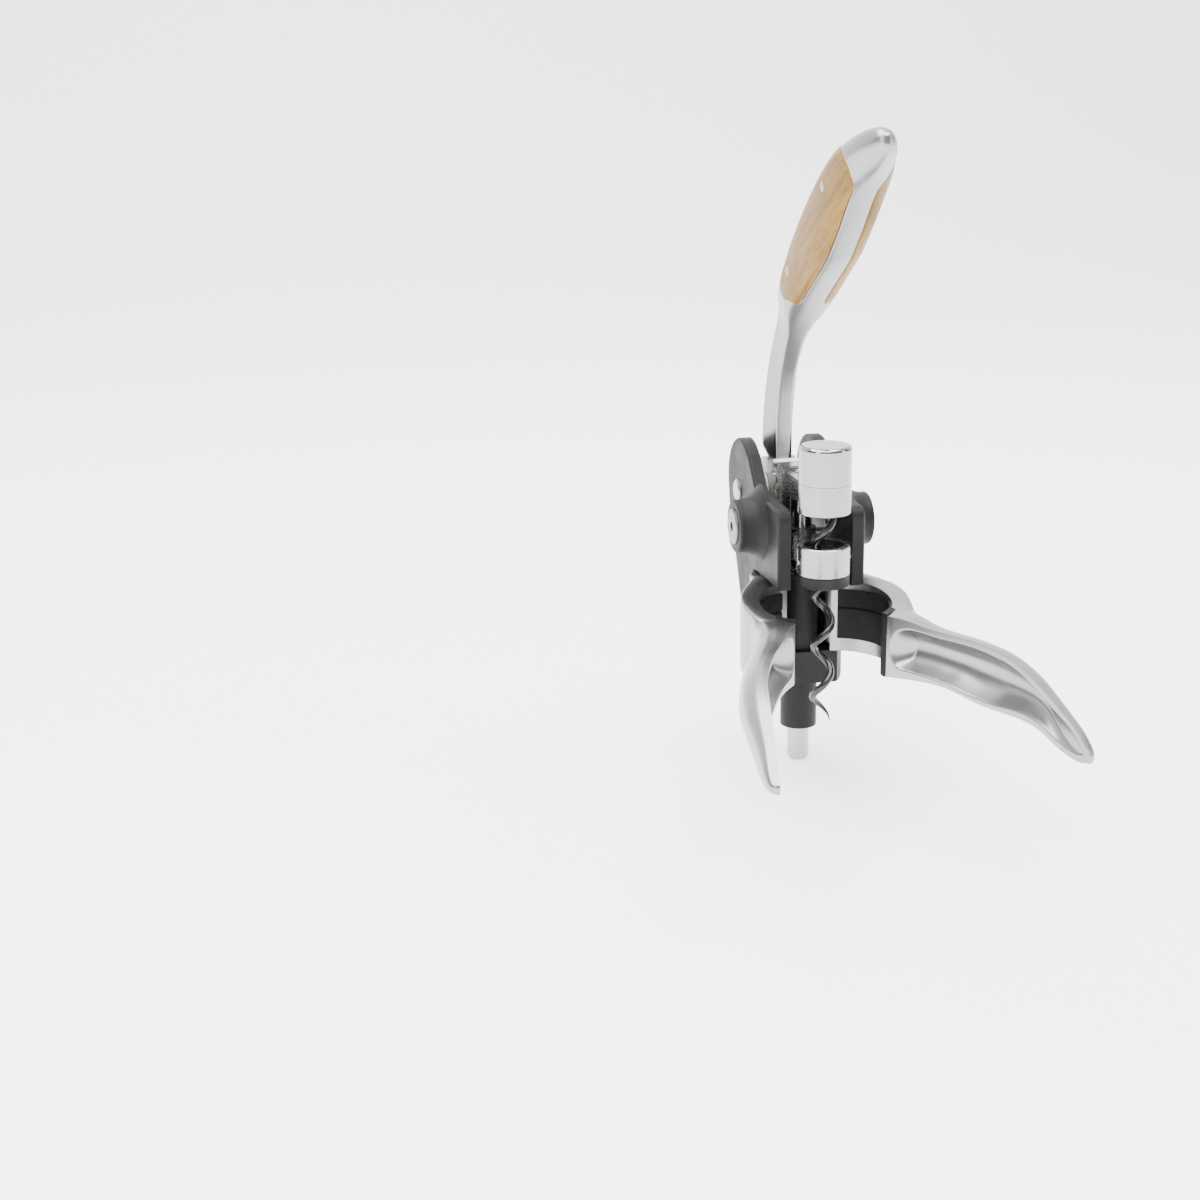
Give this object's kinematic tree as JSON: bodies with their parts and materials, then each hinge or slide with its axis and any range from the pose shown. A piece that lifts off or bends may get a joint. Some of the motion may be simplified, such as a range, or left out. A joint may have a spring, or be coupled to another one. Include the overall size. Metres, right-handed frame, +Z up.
{
  "type": "lever corkscrew",
  "caption": "Lever corkscrew with a geared back lever, toothed carrier, coated worm and two hinged jaw grips that clamp a bottle's neck.",
  "frame": {"origin": "on the worm's axis, in the plane where the nut's pad meets the cork", "axes": "+Z up along the worm's axis, +X from the frame towards the tips of the grips, +Y towards the left grip"},
  "size_m": [0.1435, 0.0852, 0.1884],
  "materials": {
    "charcoal_coat": "matte powder coat",
    "pearl_chrome": "satin pearl chrome",
    "satin_chrome": "fine brushed chrome",
    "bright_chrome": "polished chrome",
    "oiled_oak": "oiled pale oak",
    "black_rubber": "matte rubber",
    "black_nylon": "matte moulded nylon",
    "washer_nylon": "natural nylon",
    "rivet_steel": "turned and tumbled",
    "plug_steel": "turned nickel-plated",
    "spring_steel": "bright spring wire",
    "rod_steel": "ground and polished",
    "coated_wire": "glossy low-friction coating",
    "bush_bronze": "sintered bronze"
  },
  "bodies": {
    "frame": {"frame": "charcoal_coat", "pivot_pin": "rivet_steel", "upper_rod_bush": "bush_bronze", "lower_rod_bush": "bush_bronze", "left_pivot_washer": "washer_nylon", "right_pivot_washer": "washer_nylon", "left_hinge_pin": "rivet_steel", "right_hinge_pin": "rivet_steel", "left_detent_plug": "plug_steel", "right_detent_plug": "plug_steel", "left_detent_spring": "spring_steel", "right_detent_spring": "spring_steel", "nut_carriage": "satin_chrome", "cork_pad": "black_nylon", "worm_nut": "black_nylon", "left_guide_pin": "rivet_steel", "right_guide_pin": "rivet_steel"},
    "lever": {"lever": "pearl_chrome", "left_handle_scale": "oiled_oak", "right_handle_scale": "oiled_oak", "front_rivet": "rivet_steel", "rear_rivet": "rivet_steel"},
    "carrier": {"carrier": "satin_chrome", "guide_rod": "rod_steel", "rod_screw": "rivet_steel", "head_cap": "bright_chrome", "thrust_washer": "washer_nylon"},
    "worm": {"worm": "coated_wire", "shank_clip": "spring_steel"},
    "left_grip": {"left_grip": "pearl_chrome", "left_jaw_pad": "black_rubber"},
    "right_grip": {"right_grip": "pearl_chrome", "right_jaw_pad": "black_rubber"},
    "left_detent": {"left_detent_plunger": "plug_steel"},
    "right_detent": {"right_detent_plunger": "plug_steel"}
  },
  "joints": [
    {"name": "lever_hinge", "type": "hinge", "parent": "frame", "child": "lever", "pos_m": [-0.0436, 0, 0.0187], "axis": [0, -1, 0], "range_deg": [-45, 205]},
    {"name": "carrier_slide", "type": "slide", "parent": "frame", "child": "carrier", "axis": [0, 0, 1], "range_m": [-0.00932, 0.04158]},
    {"name": "worm_spin", "type": "hinge", "parent": "carrier", "child": "worm", "pos_m": [0, 0, 0], "axis": [0, 0, 1], "range_deg": [-218.85, 982.75]},
    {"name": "left_grip_hinge", "type": "hinge", "parent": "frame", "child": "left_grip", "pos_m": [-0.022, 0.011, -0.0133], "axis": [0, 0, 1], "range_deg": [-20.6, 39.4]},
    {"name": "right_grip_hinge", "type": "hinge", "parent": "frame", "child": "right_grip", "pos_m": [-0.022, -0.011, -0.0133], "axis": [0, 0, -1], "range_deg": [-19.2, 40.8]},
    {"name": "left_detent_slide", "type": "slide", "parent": "frame", "child": "left_detent", "axis": [0, 1, 0], "range_m": [0, 0.0016], "stiffness_N_per_m": 600, "springref_m": -0.001, "deforming": ["left_detent_spring"]},
    {"name": "right_detent_slide", "type": "slide", "parent": "frame", "child": "right_detent", "axis": [0, -1, 0], "range_m": [0, 0.0016], "stiffness_N_per_m": 600, "springref_m": -0.001, "deforming": ["right_detent_spring"]}
  ],
  "couplings": [
    {"joint": "carrier_slide", "follows": "lever_hinge", "m_per_rad": 0.01155},
    {"joint": "worm_spin", "follows": "lever_hinge", "ratio": 4.7744}
  ]
}
